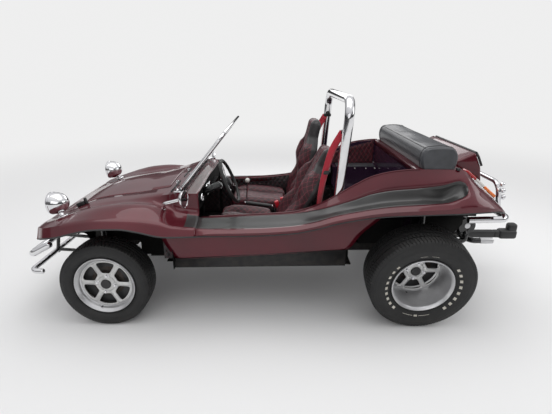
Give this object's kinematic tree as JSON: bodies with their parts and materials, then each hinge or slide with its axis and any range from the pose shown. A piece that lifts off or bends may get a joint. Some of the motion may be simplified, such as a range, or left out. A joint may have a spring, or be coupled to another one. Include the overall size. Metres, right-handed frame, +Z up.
{
  "type": "open two-seat dune buggy",
  "caption": "Open two-seat dune buggy with a moulded wine-coloured tub, roll hoop, raked windscreen, wide rear wheels, chrome lamps and a rear engine under a hinged cover.",
  "frame": {"origin": "on the ground, under the middle of the whole vehicle's length and width", "axes": "+X forward, +Y to the vehicle's left (driver's side), +Z up"},
  "size_m": [3.7478, 1.7474, 1.529],
  "materials": {
    "body_paint": "dark wine metallic gel coat, glossy",
    "black_panel": "black textured sealer",
    "rubber": "black tyre rubber",
    "alloy": "silver cast alloy, polished lip",
    "chrome": "bright chrome",
    "chassis_black": "black chassis paint",
    "engine_metal": "cast alloy, slightly dirty",
    "black_paint": "black enamel",
    "leather_grey": "dark grey leatherette",
    "vinyl_grey": "grey vinyl",
    "quilt_black": "black quilted leatherette",
    "webbing_red": "red woven webbing",
    "clear_glass": "clear laminated glass",
    "lamp_glass": "ribbed clear lens",
    "lamp_amber": "amber, white and red lens",
    "steering_leather": "black leather rim, chrome spokes"
  },
  "bodies": {
    "chassis": {"body_front": "body_paint", "body_sides": "body_paint", "body_rear": "body_paint", "footwell": "quilt_black", "inner_rear": "quilt_black", "dashboard": "black_panel", "windscreen_frame": "chrome", "windscreen_glass": "clear_glass", "roll_hoop": "chrome", "front_bumper": "chrome", "rear_bumper": "chrome", "tow_hitch": "chassis_black", "headlamps": "chrome", "headlamp_lenses": "lamp_glass", "mirrors": "chrome", "wipers": "black_panel", "tail_lamps": "lamp_amber", "floor_pan": "chassis_black", "front_beam": "chassis_black", "front_arms": "chassis_black", "dampers": "chassis_black", "transaxle": "engine_metal", "engine": "engine_metal", "exhaust": "chrome", "fuel_tank": "black_paint", "steering_column": "black_paint", "driver_controls": "chrome", "seat_cushion_left": "leather_grey", "seat_back_left": "leather_grey", "seat_cushion_right": "leather_grey", "seat_back_right": "leather_grey", "seat_frames": "black_paint", "seat_belts": "webbing_red", "rear_bolster": "vinyl_grey"},
    "steering": {"steering_wheel": "steering_leather"},
    "knuckle_l": {"knuckle_left": "chassis_black"},
    "knuckle_r": {"knuckle_right": "chassis_black"},
    "tie_rod_bar": {"tie_rod": "chassis_black"},
    "hood": {"hood_lid": "body_paint"},
    "engine_cover": {"engine_lid": "body_paint"},
    "wheel_front_left_body": {"tyre_front_left": "rubber", "wheel_front_left": "alloy"},
    "wheel_front_right_body": {"tyre_front_right": "rubber", "wheel_front_right": "alloy"},
    "wheel_rear_left_body": {"tyre_rear_left": "rubber", "wheel_rear_left": "alloy"},
    "wheel_rear_right_body": {"tyre_rear_right": "rubber", "wheel_rear_right": "alloy"}
  },
  "joints": [
    {"name": "wheel_front_left_spin", "type": "hinge", "parent": "knuckle_l", "child": "wheel_front_left_body", "pos_m": [1.269, 0.65902, 0.30211], "axis": [0, 0.9998, -0.0209], "continuous": true},
    {"name": "wheel_front_right_spin", "type": "hinge", "parent": "knuckle_r", "child": "wheel_front_right_body", "pos_m": [1.269, -0.65902, 0.30211], "axis": [0, 0.9998, 0.0209], "continuous": true},
    {"name": "wheel_rear_left_spin", "type": "hinge", "parent": "chassis", "child": "wheel_rear_left_body", "pos_m": [-0.839, 0.69952, 0.36072], "axis": [0, 0.9869, -0.1616], "continuous": true},
    {"name": "wheel_rear_right_spin", "type": "hinge", "parent": "chassis", "child": "wheel_rear_right_body", "pos_m": [-0.839, -0.69952, 0.36072], "axis": [0, 0.9869, 0.1616], "continuous": true},
    {"name": "steer_left", "type": "hinge", "parent": "chassis", "child": "knuckle_l", "pos_m": [1.269, 0.553, 0.308], "axis": [0, 0, 1], "range_deg": [-28, 28]},
    {"name": "steer_right", "type": "hinge", "parent": "chassis", "child": "knuckle_r", "pos_m": [1.269, -0.553, 0.308], "axis": [0, 0, 1], "range_deg": [-28, 28]},
    {"name": "steering_wheel_turn", "type": "hinge", "parent": "chassis", "child": "steering", "pos_m": [0.455, 0.3, 0.912], "axis": [-0.9272, 0, 0.3746], "range_deg": [-365, 365]},
    {"name": "tie_rod_shift", "type": "slide", "parent": "chassis", "child": "tie_rod_bar", "axis": [0, -1, 0], "range_m": [-0.056, 0.056]},
    {"name": "hood_open", "type": "hinge", "parent": "chassis", "child": "hood", "pos_m": [0.878, 0, 0.89298], "axis": [0, -1, 0], "range_deg": [0, 55]},
    {"name": "engine_lid_open", "type": "hinge", "parent": "chassis", "child": "engine_cover", "pos_m": [-1.097, 0, 1.08], "axis": [0, 1, 0], "range_deg": [0, 60]}
  ],
  "couplings": [
    {"joint": "steer_right", "follows": "steer_left", "ratio": 1},
    {"joint": "steering_wheel_turn", "follows": "steer_left", "ratio": 13},
    {"joint": "tie_rod_shift", "follows": "steer_left", "m_per_rad": 0.1}
  ]
}
